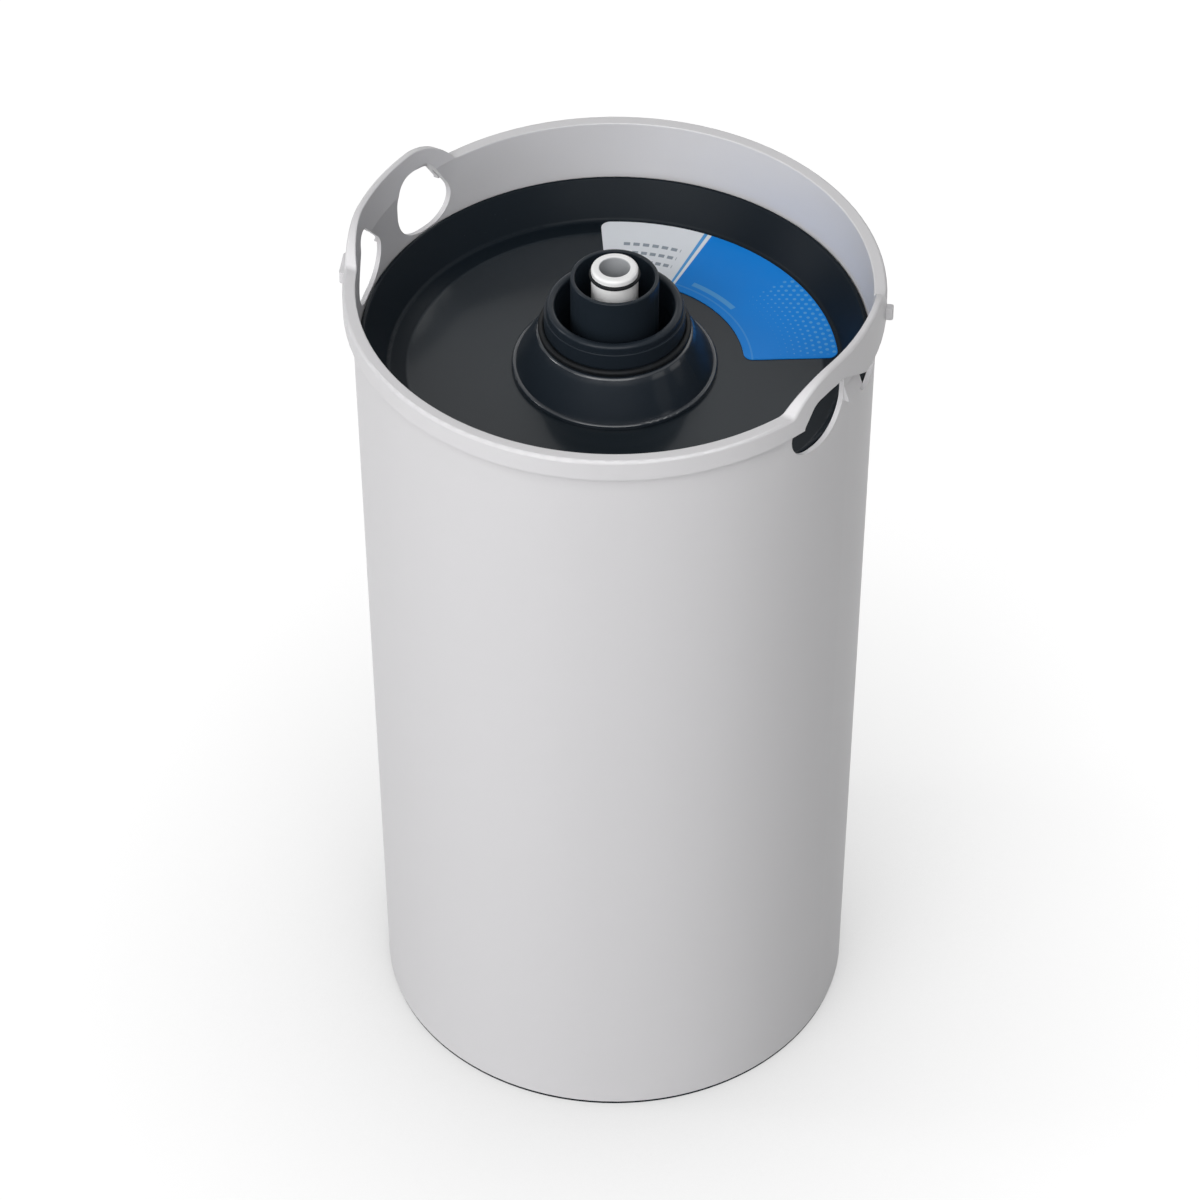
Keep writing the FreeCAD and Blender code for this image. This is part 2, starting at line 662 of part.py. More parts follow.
def bypass_diffuser():
    """Cup on the end of the bypass tube, with slots for the water and a hole for the riser."""
    floor_top = DIFFUSER_LOW_Z + DIFFUSER_FLOOR
    hole_r = RISER_R + LOOSE
    body = turned([
        (hole_r, DIFFUSER_LOW_Z),
        (DIFFUSER_R, DIFFUSER_LOW_Z),
        (DIFFUSER_R, DIFFUSER_TOP_Z),
        (BYPASS_SOCKET_R, DIFFUSER_TOP_Z),
        (BYPASS_SOCKET_R, BYPASS_LOW_Z),
        (BYPASS_BORE_R, BYPASS_LOW_Z),
        (BYPASS_BORE_R, floor_top),
        (hole_r, floor_top),
    ])
    slots = spokes(DIFFUSER_SLOTS, DIFFUSER_SLOT_WIDTH, hole_r + SNUG, 2 * DIFFUSER_R,
                   floor_top, floor_top + DIFFUSER_SLOT_HEIGHT)
    return body.cut(slots)


def bed(low_z, top_z, bore_r):
    """Ring that fills the tank from low_z to top_z, round a tube."""
    return turned([
        (bore_r, low_z),
        (tank_bore_r(low_z) - LOOSE, low_z),
        (tank_bore_r(top_z) - LOOSE, top_z),
        (bore_r, top_z),
    ])


def perforated(plate, low_z, top_z):
    holes = []
    for ring_r, count in zip(PLATE_HOLE_RING_R, PLATE_HOLE_COUNTS):
        for i in range(count):
            angle = 2 * math.pi * i / count
            holes.append(rod(PLATE_HOLE_R, low_z, top_z, ring_r * math.cos(angle), ring_r * math.sin(angle)))
    return plate.cut(holes)


def top_distributor():
    top_z = PLATE_LOW_Z + PLATE
    plate = perforated(bed(PLATE_LOW_Z, top_z, BYPASS_R + LOOSE), PLATE_LOW_Z, top_z)
    columns = []
    for i in range(COLUMN_COUNT):
        angle = 2 * math.pi * i / COLUMN_COUNT
        x = COLUMN_RING_R * math.cos(angle)
        y = COLUMN_RING_R * math.sin(angle)
        columns.append(rod(COLUMN_R, PLATE_LOW_Z, LID_UNDER_Z, x, y))
    return plate.fuse(columns).removeSplitter()


def resin_bed():
    """Resin round the bypass tube and its diffuser; below the diffuser it closes in round the riser."""
    room_low = DIFFUSER_LOW_Z - END_CLEAR
    room_top = DIFFUSER_TOP_Z + END_CLEAR
    room_r = DIFFUSER_R + LOOSE
    return turned([
        (RISER_R + LOOSE, RESIN_LOW_Z),
        (tank_bore_r(RESIN_LOW_Z) - LOOSE, RESIN_LOW_Z),
        (tank_bore_r(TOP_FLEECE_LOW_Z) - LOOSE, TOP_FLEECE_LOW_Z),
        (BYPASS_R + LOOSE, TOP_FLEECE_LOW_Z),
        (BYPASS_R + LOOSE, room_top),
        (room_r, room_top),
        (room_r, room_low),
        (RISER_R + LOOSE, room_low),
    ])


def bottom_collector():
    """Perforated plate on ribs, with the hub that the riser stands in and slots for the water into it."""
    plate_low = FINE_LOW_Z - COLLECTOR_PLATE
    groove_top = RISER_SEAL_Z + 2 * RISER_SEAL_SECTION_R + SEAL_GROOVE_EXTRA
    groove_r = RISER_R + 2 * RISER_SEAL_SECTION_R
    socket_r = RISER_R + SLIDE
    hub = turned([
        (RISER_BORE_R, TANK_FLOOR_Z),
        (HUB_R, TANK_FLOOR_Z),
        (HUB_R, HUB_TOP_Z),
        (socket_r, HUB_TOP_Z),
        (socket_r, groove_top),
        (groove_r, groove_top),
        (groove_r, RISER_SEAL_Z),
        (socket_r, RISER_SEAL_Z),
        (socket_r, RISER_LOW_Z),
        (RISER_BORE_R, RISER_LOW_Z),
    ])
    root_r = HUB_R - HUB_WALL / 4
    plate = perforated(bed(plate_low, FINE_LOW_Z, root_r), plate_low, FINE_LOW_Z)
    count = COLLECTOR_RIB_COUNT
    ribs = spokes(count, COLLECTOR_RIB_WIDTH, root_r, COLLECTOR_RIB_R, TANK_FLOOR_Z, plate_low)
    slots = spokes(count, HUB_SLOT_WIDTH, RISER_BORE_R - SNUG, HUB_R + SNUG,
                   TANK_FLOOR_Z, TANK_FLOOR_Z + HUB_SLOT_HEIGHT, 180.0 / count)
    return hub.fuse([plate] + ribs).cut(slots).removeSplitter()


def write(name, shape):
    shape.exportStep("parts/" + name + ".step")


write("outer_sleeve", outer_sleeve())
write("foot_ring", foot_ring())
write("tank_shell", tank_shell())
write("tank_lid", tank_lid())
write("lid_label", lid_label())
write("neck_collar", neck_collar())
write("collar_seal", collar_seal())
write("port_tube", port_tube())
write("outlet_spigot", outlet_spigot())
write("spigot_seal", spigot_seal())
write("riser_tube", riser_tube())
write("riser_seal", riser_seal())
write("bypass_tube", bypass_tube())
write("bypass_diffuser", bypass_diffuser())
write("top_distributor", top_distributor())
write("top_fleece", bed(TOP_FLEECE_LOW_Z, PLATE_LOW_Z, BYPASS_R + LOOSE))
write("resin_bed", resin_bed())
write("middle_fleece", bed(MIDDLE_FLEECE_LOW_Z, RESIN_LOW_Z, RISER_R + LOOSE))
write("carbon_bed", bed(CARBON_LOW_Z, MIDDLE_FLEECE_LOW_Z, HUB_R + LOOSE))
write("fine_filter", bed(FINE_LOW_Z, CARBON_LOW_Z, HUB_R + LOOSE))
write("bottom_collector", bottom_collector())
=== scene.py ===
import json
import math

import bpy
from mathutils import Color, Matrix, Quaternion, Vector


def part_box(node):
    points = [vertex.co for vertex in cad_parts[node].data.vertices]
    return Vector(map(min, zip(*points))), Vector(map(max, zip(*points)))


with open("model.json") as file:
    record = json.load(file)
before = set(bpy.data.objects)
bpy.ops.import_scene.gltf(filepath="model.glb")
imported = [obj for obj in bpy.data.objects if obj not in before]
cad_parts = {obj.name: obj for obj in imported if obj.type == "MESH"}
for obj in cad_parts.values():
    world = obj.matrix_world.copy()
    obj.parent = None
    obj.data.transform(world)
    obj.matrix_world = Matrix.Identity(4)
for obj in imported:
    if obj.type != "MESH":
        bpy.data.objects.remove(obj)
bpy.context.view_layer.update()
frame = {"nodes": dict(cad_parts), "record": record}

MM = 0.001
UP = Vector((0.0, 0.0, 1.0))

# The camera stands on the -Y side, turned by its azimuth towards the ear at +X. It was fitted to the
# photograph. Distance from the axis, height and shift to the right are in metres, the tilt of the
# view below level and the roll in radians, focal length and sensor width in millimetres.
CAMERA_AZIMUTH = math.radians(28.0)
CAMERA_DISTANCE = 1.66766
CAMERA_HEIGHT = 1.71637
CAMERA_ASIDE = -0.0056
CAMERA_PITCH = 0.7424
CAMERA_ROLL = 0.0018
CAMERA_LENS = 176.41
CAMERA_SENSOR = 36.0

# The camera's right, and the level direction away from it
TO_RIGHT = Vector((math.cos(CAMERA_AZIMUTH), math.sin(CAMERA_AZIMUTH), 0.0))
AWAY = Vector((-math.sin(CAMERA_AZIMUTH), math.cos(CAMERA_AZIMUTH), 0.0))


def corners_of(name):
    """Corners of a CAD node, in metres."""
    piece = frame["nodes"][name]
    return [piece.matrix_world @ corner.co for corner in piece.data.vertices]


def radii_of(name):
    """Smallest and largest distance of a CAD node from the cartridge's axis."""
    radii = [corner.xy.length for corner in corners_of(name)]
    return min(radii), max(radii)


def bearings_of(name):
    """First and last angle of a CAD node about the axis, in degrees from +X."""
    bearings = [math.degrees(math.atan2(corner.y, corner.x)) for corner in corners_of(name)]
    return min(bearings), max(bearings)


class Socket:
    """One output in a node tree, with arithmetic that adds the nodes it needs."""

    def __init__(self, graph, output):
        self.graph = graph
        self.output = output

    def math(self, operation, *others):
        """What a Math node makes of this socket and the others."""
        inputs = dict(enumerate((self,) + others))
        return self.graph.add("ShaderNodeMath", {"operation": operation}, inputs)

    def __add__(self, other):
        return self.math("ADD", other)

    __radd__ = __add__

    def __sub__(self, other):
        return self.math("SUBTRACT", other)

    def __rsub__(self, other):
        return self.graph.add("ShaderNodeMath", {"operation": "SUBTRACT"}, {0: other, 1: self})

    def __mul__(self, other):
        return self.math("MULTIPLY", other)

    __rmul__ = __mul__

    def __truediv__(self, other):
        return self.math("DIVIDE", other)

    def lowest(self, other):
        return self.math("MINIMUM", other)

    def highest(self, other):
        return self.math("MAXIMUM", other)

    def ramp(self, low, high):
        """0 below low, 1 above high, smooth between."""
        settings = {"interpolation_type": "SMOOTHSTEP"}
        inputs = {"Value": self, "From Min": low, "From Max": high}
        return self.graph.add("ShaderNodeMapRange", settings, inputs)

    def below(self, limit, edge):
        """1 below the limit and 0 above it, smooth within edge of it."""
        return 1.0 - self.ramp(limit - edge, limit + edge)

    def ring(self, centre, half_width, edge):
        """1 within half_width of centre and 0 further off, smooth within edge of the border."""
        return (self - centre).math("ABSOLUTE").below(half_width, edge)


class Graph:
    """The nodes of one material, or of the world."""

    def __init__(self, tree):
        self.tree = tree
        tree.nodes.clear()

    def add(self, kind, settings, inputs, output=0):
        """New node with these settings and inputs, as the socket of one of its outputs, if it has any."""
        node = self.tree.nodes.new(kind)
        for name, value in settings.items():
            setattr(node, name, value)
        for name, value in inputs.items():
            if isinstance(value, Socket):
                self.tree.links.new(value.output, node.inputs[name])
            else:
                node.inputs[name].default_value = value
        return Socket(self, node.outputs[output]) if node.outputs else None

    def mix(self, factor, first, second):
        """Colour first where factor is 0 and second where it is 1."""
        inputs = {0: factor, 6: first, 7: second}
        return self.add("ShaderNodeMix", {"data_type": "RGBA"}, inputs, output=2)

    def place(self):
        """Position in the cartridge's own frame, in metres."""
        return self.add("ShaderNodeTexCoord", {}, {}, output="Object")

    def across(self, place):
        """The two coordinates of a place across the cartridge's axis."""
        return [self.add("ShaderNodeSeparateXYZ", {}, {"Vector": place}, output=axis) for axis in "XY"]

    def height(self, place):
        """Height of a place above the cartridge's foot."""
        return self.add("ShaderNodeSeparateXYZ", {}, {"Vector": place}, output="Z")

    def radius(self, place):
        """Distance of a place from the cartridge's axis."""
        return distance(*self.across(place))

    def bearing(self, place):
        """Angle of a place about the axis, in degrees from +X."""
        x, y = self.across(place)
        return y.math("ARCTAN2", x) * math.degrees(1.0)

    def stretched(self, place, across, upward):
        """Place with one scale across the axis and another along it."""
        factors = (across, across, upward)
        return self.add("ShaderNodeVectorMath", {"operation": "MULTIPLY"}, {0: place, 1: factors})

    def noise(self, place, scale, detail=3.0, roughness=0.5):
        """Noise from 0 to 1, with about scale blots in a metre."""
        inputs = {"Vector": place, "Scale": scale, "Detail": detail, "Roughness": roughness}
        return self.add("ShaderNodeTexNoise", {}, inputs)

    def cells(self, place, scale):
        """Distance from the middles of packed cells, with about scale of them in a metre."""
        return self.add("ShaderNodeTexVoronoi", {}, {"Vector": place, "Scale": scale})

    def bump(self, height, strength, depth):
        """Normal of a surface with this relief, where a height of 1 stands out by depth."""
        inputs = {"Height": height, "Strength": strength, "Distance": depth}
        return self.add("ShaderNodeBump", {}, inputs)

    def looked_at(self):
        """1 where the camera looks, straight, by a mirror or through something clear, and else 0."""
        rays = ("Is Camera Ray", "Is Glossy Ray", "Is Transmission Ray")
        seen, mirrored, passed = [self.add("ShaderNodeLightPath", {}, {}, output=ray) for ray in rays]
        return seen.highest(mirrored).highest(passed)


def distance(x, y):
    """Length of a line from how far it goes along each of two axes."""
    return (x * x + y * y).math("SQRT")


def linear(red, green, blue):
    """Screen colour, 0 to 255, as the linear colour that a shader takes."""
    colour = Color((red / 255, green / 255, blue / 255)).from_srgb_to_scene_linear()
    return (colour.r, colour.g, colour.b, 1.0)


def shade(colour, factor):
    """Colour made darker by a factor below 1, or lighter by one above."""
    return (colour[0] * factor, colour[1] * factor, colour[2] * factor, 1.0)


def empty_material(name):
    """New material, and the graph to fill in for it."""
    material = bpy.data.materials.new(name)
    material.use_nodes = True
    return material, Graph(material.node_tree)


def finish_material(name, build):
    """Material whose principled shader takes the sockets that build returns."""
    material, graph = empty_material(name)
    surface = graph.add("ShaderNodeBsdfPrincipled", {}, build(graph))
    graph.add("ShaderNodeOutputMaterial", {}, {"Surface": surface})
    return material


SLEEVE_GREY = linear(214, 213, 215)


def sleeve_plastic(graph):
    """Light grey moulded plastic: fine spark-eroded grain, faint flow lines and dulled scuffs."""
    place = graph.place()
    grain = graph.noise(place, scale=2600.0, detail=2.0)
    mottle = graph.noise(place, scale=22.0, detail=4.0, roughness=0.6)
    up_the_wall = graph.stretched(place, across=90.0, upward=5.0)
    flow = graph.noise(up_the_wall, scale=1.0)
    round_the_wall = graph.stretched(place, across=60.0, upward=240.0)
    scuffs = graph.noise(round_the_wall, scale=1.0, detail=5.0, roughness=0.7)
    worn = scuffs.ramp(low=0.60, high=0.78)
    tone = (mottle - 0.5) * 0.10 + (flow - 0.5) * 0.05 + 0.5
    return {
        "Base Color": graph.mix(tone, shade(SLEEVE_GREY, 0.93), shade(SLEEVE_GREY, 1.03)),
        "Roughness": 0.38 + grain * 0.08 + worn * 0.10 + (mottle - 0.5) * 0.06,
        "Normal": graph.bump(grain * 0.7 + flow * 0.6, strength=0.10, depth=0.2 * MM),
    }


# Dark plastic tones: the wall's own blue-grey, which the floor's border also takes as painted shade, and
# lighter copies painted as light: sheen on the dish floor and light on the neck.
WALL_AND_SHADED_BORDER_BLUE_GREY = (0.0045, 0.0080, 0.0120, 1.0)
FLOOR_PAINTED_SHEEN_GREY = (0.0085, 0.0135, 0.0185, 1.0)
NECK_PAINTED_LIGHT_BLUE_GREY = (0.0130, 0.0185, 0.0255, 1.0)
DUST_GREY = linear(70, 76, 82)

# The lid's dish has a polished floor, which a faint step parts from a matt border along the wall's foot.
# The floor is painted a lighter grey as painted sheen, and the border keeps the wall's darker grey as
# painted shade along the wall's foot. The label lies on that floor and reaches the wall's foot, so it
# gives height and radius.
DISH_FLOOR_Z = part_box("lid_label")[0].z
DISH_FLOOR_HALF = 0.5 * MM
DISH_FLOOR_EDGE = 0.3 * MM
MATT_SHADED_BORDER = 6.2 * MM
POLISHED_R = radii_of("lid_label")[1] - MATT_SHADED_BORDER
STEP_HALF = 0.8 * MM
STEP_DEPTH = 0.25 * MM

# Heights that shine: the bead at the foot of the lid's neck and the round edge of its shoulder
BEAD_Z = DISH_FLOOR_Z + 1.7 * MM
BEAD_HALF = 1.1 * MM
BEAD_EDGE = 0.5 * MM
SHOULDER_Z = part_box("tank_lid")[1].z - 0.9 * MM
SHOULDER_HALF = 1.4 * MM
SHOULDER_EDGE = 0.6 * MM

FLOOR_POLISH = 0.42
NECK_POLISH = 0.12
EDGE_POLISH = 0.85


def dark_plastic(graph):
    """Dark blue-grey plastic, polished on dish floor and neck, with soft smears and a little pale dust.
    The floor and neck carry painted light as lighter greys, and the floor's border carries painted shade.
    """
    place = graph.place()
    height = graph.height(place)
    grain = graph.noise(place, scale=3200.0, detail=2.0)
    smear = graph.noise(place, scale=38.0, detail=5.0, roughness=0.62)
    specks = graph.noise(place, scale=900.0, detail=2.0)
    dust = specks.ramp(low=0.70, high=0.78) * smear.ramp(low=0.45, high=0.70)
    inside = graph.radius(place).below(POLISHED_R, STEP_HALF)
    flat = height.ring(DISH_FLOOR_Z, DISH_FLOOR_HALF, DISH_FLOOR_EDGE) * inside
    bead = height.ring(BEAD_Z, BEAD_HALF, BEAD_EDGE)
    shoulder = height.ring(SHOULDER_Z, SHOULDER_HALF, SHOULDER_EDGE)
    polish = flat * FLOOR_POLISH + (inside - flat) * ((bead + shoulder) * EDGE_POLISH + NECK_POLISH)
    # Painted light and shade: lighter greys on the dish floor and the neck, and the wall's darker grey on
    # the floor's border.
    colour = graph.mix(flat, graph.mix(inside, WALL_AND_SHADED_BORDER_BLUE_GREY, NECK_PAINTED_LIGHT_BLUE_GREY), FLOOR_PAINTED_SHEEN_GREY)
    return {
        "Base Color": graph.mix(dust * 0.4, colour, DUST_GREY),
        "Roughness": 0.30 + smear * 0.12 + grain * 0.04 + dust * 0.2,
        "Specular IOR Level": 0.1,
        "Coat Weight": polish * (0.85 + smear * 0.3),
        "Coat Roughness": 0.13,
        "Normal": graph.bump(grain * 0.007 - inside * (STEP_DEPTH / MM), strength=1.0, depth=MM),
    }


WHITE = linear(247, 247, 247)
# Painted shade: grey within the spigot's bore, for the shade inside it.
BORE_PAINTED_SHADE = linear(168, 170, 173)
SPIGOT_BORE_R = radii_of("outlet_spigot")[0]
BORE_SHADE_EDGE = 0.2 * MM


def white_plastic(graph):
    """White moulded plastic with a satin skin, and grey paint in the bore that stands in for the shade
    inside it.
    """
    place = graph.place()
    bore_shade = graph.radius(place).below(SPIGOT_BORE_R + BORE_SHADE_EDGE, BORE_SHADE_EDGE)
    grain = graph.noise(place, scale=3000.0, detail=2.0)
    mottle = graph.noise(place, scale=60.0)
    return {
        "Base Color": graph.mix(bore_shade, graph.mix(mottle, shade(WHITE, 0.94), WHITE), BORE_PAINTED_SHADE),
        "Roughness": 0.30 + grain * 0.08 + mottle * 0.05,
        "Normal": graph.bump(grain, strength=0.08, depth=0.1 * MM),
    }


SEAL_BLACK = (0.0040, 0.0048, 0.0058, 1.0)
SEAL_BLOOM = linear(28, 33, 38)


def seal_rubber(graph):
    """Black rubber with a dull bloom."""
    place = graph.place()
    bloom = graph.noise(place, scale=260.0, detail=4.0)
    grain = graph.noise(place, scale=4200.0, detail=2.0)
    return {
        "Base Color": graph.mix(bloom.ramp(low=0.45, high=0.75) * 0.5, SEAL_BLACK, SEAL_BLOOM),
        "Roughness": 0.42 + bloom * 0.2,
        "Specular IOR Level": 0.15,
        "Normal": graph.bump(grain, strength=0.15, depth=0.08 * MM),
    }


FLEECE = linear(226, 224, 214)


def fleece(graph):
    """Felted fibre."""
    place = graph.place()
    layered = graph.stretched(place, across=1.0, upward=4.0)
    strands = graph.noise(layered, scale=900.0, detail=5.0, roughness=0.7)
    clumps = graph.noise(place, scale=120.0)
    return {
        "Base Color": graph.mix(strands * 0.6 + clumps * 0.4, shade(FLEECE, 0.78), FLEECE),
        "Roughness": 0.85 + strands * 0.1,
        "Normal": graph.bump(strands, strength=0.5, depth=0.4 * MM),
    }


RESIN = (0.42, 0.19, 0.05, 1.0)
CARBON = (0.012, 0.012, 0.013, 1.0)


def grains(graph, colour, scale):
    """Packed grains, about scale of them in a metre, with painted light on their middles and painted shade
    between them.
    """
    place = graph.place()
    cell = graph.cells(place, scale)
    tint = graph.noise(place, scale * 0.7, detail=2.0)
    return {
        # Painted light and shade: lighter in the middle of each grain, darker towards the gaps.
        "Base Color": graph.mix(cell * 0.6 + tint * 0.4, shade(colour, 1.25), shade(colour, 0.45)),
        "Roughness": 0.35 + cell * 0.3,
        "Normal": graph.bump(1.0 - cell, strength=0.8, depth=0.6 * MM),
    }


def resin_beads(graph):
    """Amber beads of exchange resin."""
    return grains(graph, RESIN, scale=1100.0)


def carbon_grains(graph):
    """Black grains of activated carbon."""
    return grains(graph, CARBON, scale=800.0)


LABEL_WHITE = linear(236, 240, 245)
LABEL_BLUE = linear(6, 133, 226)
LABEL_PALE_BLUE = linear(84, 162, 226)
LABEL_GREY = linear(150, 160, 170)

# The label on the dish floor, as radii in metres and angles about the axis in degrees. Its last
# stretch is white and the rest is blue.
LABEL_INNER_R, LABEL_OUTER_R = radii_of("lid_label")
LABEL_START, LABEL_END = bearings_of("lid_label")
WHITE_TURN = 30.0
LABEL_SPLIT = LABEL_END - WHITE_TURN
SPLIT_EDGE = 0.15
PRINT_EDGE = 0.12 * MM
PRINT_EDGE_TURN = 0.1

# Blue field: dots in rows along the arc that grow outwards, a thin line and a bar near the inner
# edge. Rows, line and bar are measured from the inner edge, and angles from the label's start.
DOT_PITCH = 2.5 * MM
DOT_PITCH_TURN = 2.2
DOT_LARGEST = 0.30 * DOT_PITCH
DOT_EDGE = 0.04 * DOT_PITCH
DOTS_FROM = 6.0 * MM
DOTS_MIDDLE = 18.0
DOTS_HALF_TURN = 16.5
DOTS_FADE_TURN = 0.8
LINE_FROM = 3.0 * MM
LINE_HALF = 0.35 * MM
LINE_STRENGTH = 0.5
BAR_FROM = 6.2 * MM
BAR_HALF = 1.1 * MM
BAR_MIDDLE = 44.0
BAR_HALF_TURN = 11.0

# White field: grey dashes on three arcs, and a pale blue stripe, with angles from the split
DASH_ROWS = (11.8 * MM, 16.8 * MM, 21.8 * MM)
DASH_HALF = 0.9 * MM
DASH_PITCH_TURN = 3.0
DASH_SHARE = 0.66
DASHES_MIDDLE = 14.5
DASHES_HALF_TURN = 9.2
STRIPE_MIDDLE = 1.6
STRIPE_HALF_TURN = 0.5


def blue_print(radius, angle):
    """Where the blue field carries its paler print."""
    row = (radius - LABEL_INNER_R) / DOT_PITCH
    column = (angle - LABEL_START) / DOT_PITCH_TURN + row.math("FLOOR") * 0.5
    off_row = (row.math("FRACT") - 0.5) * DOT_PITCH
    off_column = (column.math("FRACT") - 0.5) * radius * math.radians(DOT_PITCH_TURN)
    size = radius.ramp(LABEL_INNER_R + DOTS_FROM, LABEL_OUTER_R) * DOT_LARGEST
    dots = (distance(off_row, off_column) - size).below(0.0, DOT_EDGE)
    dots = dots * angle.ring(LABEL_START + DOTS_MIDDLE, DOTS_HALF_TURN, DOTS_FADE_TURN)
    line = radius.ring(LABEL_INNER_R + LINE_FROM, LINE_HALF, PRINT_EDGE)
    bar = radius.ring(LABEL_INNER_R + BAR_FROM, BAR_HALF, PRINT_EDGE)
    bar = bar * angle.ring(LABEL_START + BAR_MIDDLE, BAR_HALF_TURN, PRINT_EDGE_TURN)
    return dots.highest(line * LINE_STRENGTH).highest(bar)


def grey_print(radius, angle):
    """Where the white field carries its grey dashes."""
    rows = sum(radius.ring(LABEL_INNER_R + row, DASH_HALF, PRINT_EDGE) for row in DASH_ROWS)
    steps = ((angle - LABEL_SPLIT) / DASH_PITCH_TURN).math("FRACT")
    dashes = steps.ring(0.5, DASH_SHARE / 2, PRINT_EDGE_TURN / DASH_PITCH_TURN)
    return rows * dashes * angle.ring(LABEL_SPLIT + DASHES_MIDDLE, DASHES_HALF_TURN, PRINT_EDGE_TURN)


def label_film(graph):
    """Printed film: a white field and a blue one, with a plain pattern of arcs, bars and dots."""
    place = graph.place()
    radius = graph.radius(place)
    angle = graph.bearing(place)
    blue = graph.mix(blue_print(radius, angle), LABEL_BLUE, LABEL_PALE_BLUE)
    white = graph.mix(grey_print(radius, angle), LABEL_WHITE, LABEL_GREY)
    stripe = angle.ring(LABEL_SPLIT + STRIPE_MIDDLE, STRIPE_HALF_TURN, PRINT_EDGE_TURN)
    white = graph.mix(stripe, white, LABEL_PALE_BLUE)
    colour = graph.mix(angle.below(LABEL_SPLIT, SPLIT_EDGE), white, blue)

    ripple = graph.noise(place, scale=140.0)
    fibres = graph.noise(place, scale=2200.0, detail=2.0)
    return {
        "Base Color": graph.mix(ripple * 0.04, colour, LABEL_GREY),
        "Roughness": 0.34 + ripple * 0.10 + fibres * 0.04,
        "Specular IOR Level": 0.2,
        "Normal": graph.bump(ripple * 0.8 + fibres * 0.2, strength=0.12, depth=0.15 * MM),
    }


FINISHES = {
    "sleeve_plastic": sleeve_plastic,
    "dark_plastic": dark_plastic,
    "white_plastic": white_plastic,
    "seal_rubber": seal_rubber,
    "label_film": label_film,
    "fleece": fleece,
    "resin_beads": resin_beads,
    "carbon_grains": carbon_grains,
}


def dress_nodes():
    """Gives every CAD node the finish that its material slot names."""
    materials = {}
    for slot, build in FINISHES.items():
        materials[slot] = finish_material("finish_" + slot, build)
    for part in frame["record"]["subparts"]:
        piece = frame["nodes"][part["node"]]
        for holder in piece.material_slots:
            holder.material = materials[part["material_slot"]]


# The floor as it lights the cartridge, and the darker tone that the camera sees under its glow
FLOOR_WHITE = (0.58, 0.58, 0.58, 1.0)
FLOOR_SEEN = (0.22, 0.22, 0.22, 1.0)
FLOOR_HALF_SIDE = 6.0

# The glow at the axis, and what it gains in every metre away from the camera and to its right
GLOW = 0.865
GLOW_GAIN_AWAY = 0.09
GLOW_GAIN_ASIDE = 0.045

# How far off the cartridge still dims the glow into a painted shadow, and how much of it goes where it is
# hidden
SHADE_REACH = 0.19
SHADE_SHARE = 0.72
SHADE_SAMPLES = 12


def floor_surface():
    """Pale floor that glows only where it is looked at, so that it is white away from the foot, and whose
    glow is dimmed near the foot into a painted shadow over the real one.
    """
    material, graph = empty_material("floor")
    seen = graph.looked_at()
    matt = graph.add("ShaderNodeBsdfDiffuse", {}, {"Color": graph.mix(seen, FLOOR_WHITE, FLOOR_SEEN)})
    x, y = graph.across(graph.place())
    away = x * AWAY.x + y * AWAY.y
    aside = x * TO_RIGHT.x + y * TO_RIGHT.y
    level = GLOW + away * GLOW_GAIN_AWAY + aside * GLOW_GAIN_ASIDE
    reach = {"Distance": SHADE_REACH}
    clear = graph.add("ShaderNodeAmbientOcclusion", {"samples": SHADE_SAMPLES}, reach, output="AO")
    # Painted shadow: the glow dims where the cartridge hides the floor, round the foot.
    level = level.highest(0.0).lowest(1.0) * (1.0 - (1.0 - clear) * SHADE_SHARE)
    glow = graph.add("ShaderNodeEmission", {}, {"Color": level, "Strength": seen})
    both = graph.add("ShaderNodeAddShader", {}, {0: matt, 1: glow})
    graph.add("ShaderNodeOutputMaterial", {}, {"Surface": both})
    return material


def make_floor():
    """Square floor under the cartridge's foot."""
    mesh = bpy.data.meshes.new("floor")
    side = FLOOR_HALF_SIDE
    corners = [(-side, -side, 0.0), (side, -side, 0.0), (side, side, 0.0), (-side, side, 0.0)]
    mesh.from_pydata(corners, [], [(0, 1, 2, 3)])
    floor = bpy.data.objects.new("floor", mesh)
    bpy.context.scene.collection.objects.link(floor)
    mesh.materials.append(floor_surface())


def from_camera(aside, away, height):
    """A point given as seen by the camera: right of the axis, behind it, and above the floor."""
    return TO_RIGHT * aside + AWAY * away + UP * height


# The point on the axis that every panel faces, in metres above the floor
AIM = UP * 0.2


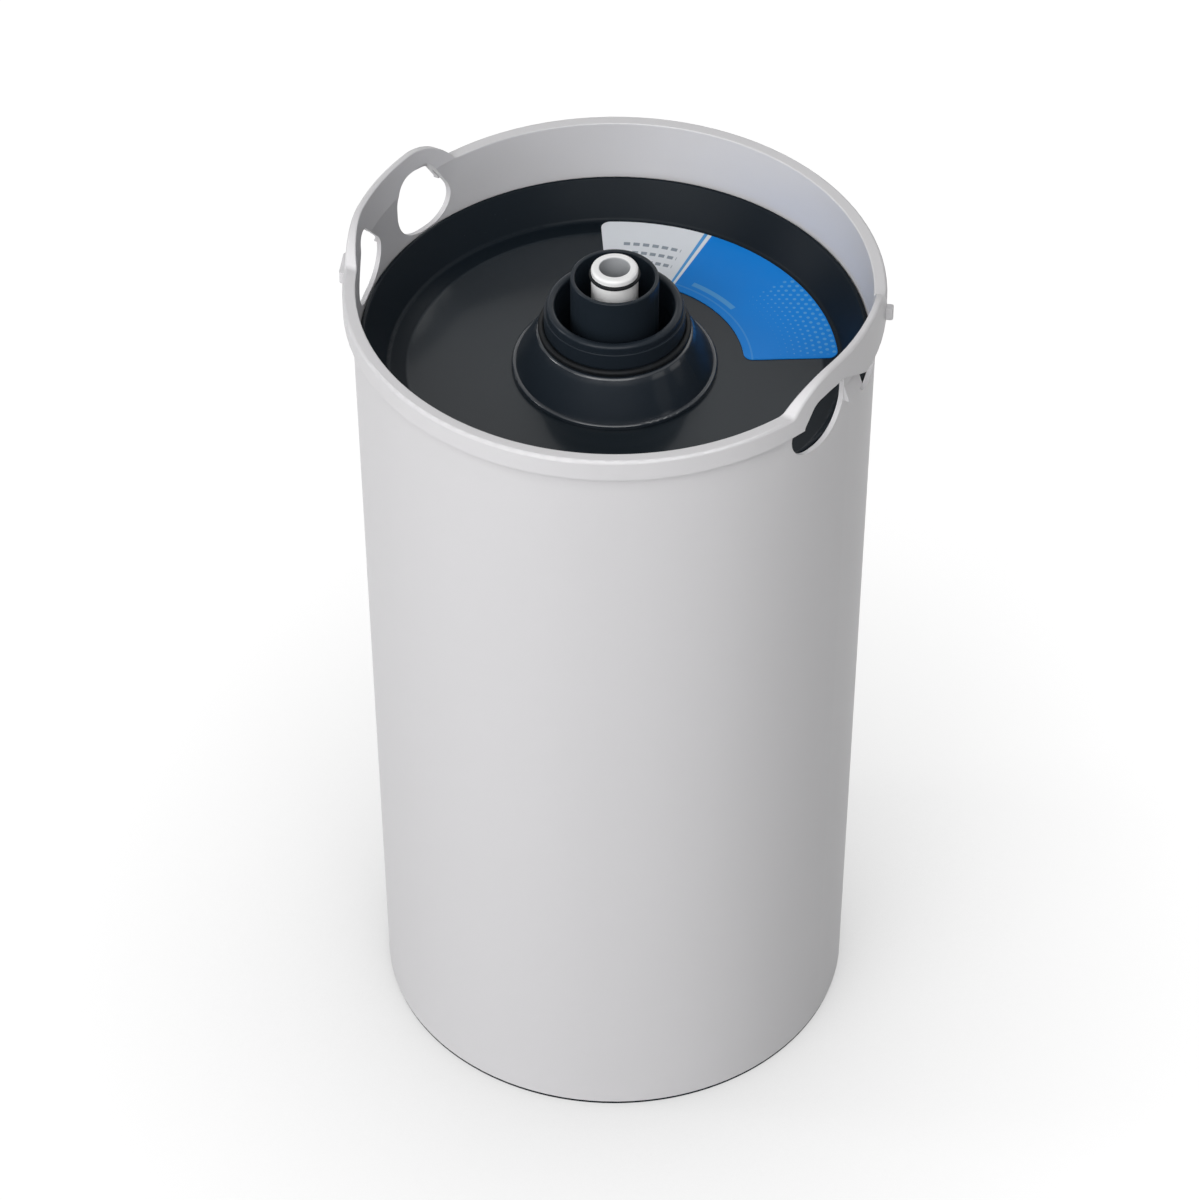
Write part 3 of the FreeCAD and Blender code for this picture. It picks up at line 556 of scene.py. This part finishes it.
def panel_light(name, aside, away, height, width, tall, watts):
    """Soft panel that stands at this place, as seen by the camera, and faces the cartridge."""
    lamp = bpy.data.lights.new(name, "AREA")
    lamp.shape = "RECTANGLE"
    lamp.size = width
    lamp.size_y = tall
    lamp.energy = watts
    holder = bpy.data.objects.new(name, lamp)
    holder.location = from_camera(aside, away, height)
    holder.rotation_mode = "QUATERNION"
    holder.rotation_quaternion = (AIM - holder.location).to_track_quat("-Z", "Y")
    bpy.context.scene.collection.objects.link(holder)


def light_studio():
    """Soft panels round the cartridge, and a white room that shows only where it is looked at."""
    panel_light("light_front_high", aside=-0.2, away=-1.7, height=2.3, width=2.6, tall=2.0, watts=45.5)
    panel_light("light_front", aside=0.4, away=-2.3, height=1.2, width=1.6, tall=1.8, watts=9.0)
    panel_light("light_left_front", aside=-1.5, away=-2.0, height=1.4, width=1.8, tall=2.0, watts=28.0)
    panel_light("light_left", aside=-2.2, away=0.1, height=1.15, width=0.45, tall=1.5, watts=13.5)
    panel_light("light_back", aside=0.1, away=2.6, height=1.4, width=2.4, tall=1.4, watts=15.0)
    panel_light("light_right_back", aside=1.9, away=1.6, height=1.6, width=1.6, tall=1.6, watts=7.0)
    world = bpy.data.worlds.new("studio")
    bpy.context.scene.world = world
    world.use_nodes = True
    graph = Graph(world.node_tree)
    white = (1.0, 1.0, 1.0, 1.0)
    back = graph.add("ShaderNodeBackground", {}, {"Color": white, "Strength": graph.looked_at()})
    graph.add("ShaderNodeOutputWorld", {}, {"Surface": back})


def make_camera():
    """Camera that looks down at the cartridge as the photograph does."""
    lens = bpy.data.cameras.new("camera")
    lens.sensor_width = CAMERA_SENSOR
    lens.lens = CAMERA_LENS
    camera = bpy.data.objects.new("camera", lens)
    bpy.context.scene.collection.objects.link(camera)
    camera.location = from_camera(CAMERA_ASIDE, -CAMERA_DISTANCE, CAMERA_HEIGHT)
    forward = AWAY * math.cos(CAMERA_PITCH) - UP * math.sin(CAMERA_PITCH)
    roll = Quaternion(forward, CAMERA_ROLL)
    camera.rotation_mode = "QUATERNION"
    camera.rotation_quaternion = roll @ forward.to_track_quat("-Z", "Y")
    bpy.context.scene.camera = camera


bpy.context.scene.view_settings.view_transform = "Standard"
make_camera()
light_studio()
make_floor()
dress_nodes()
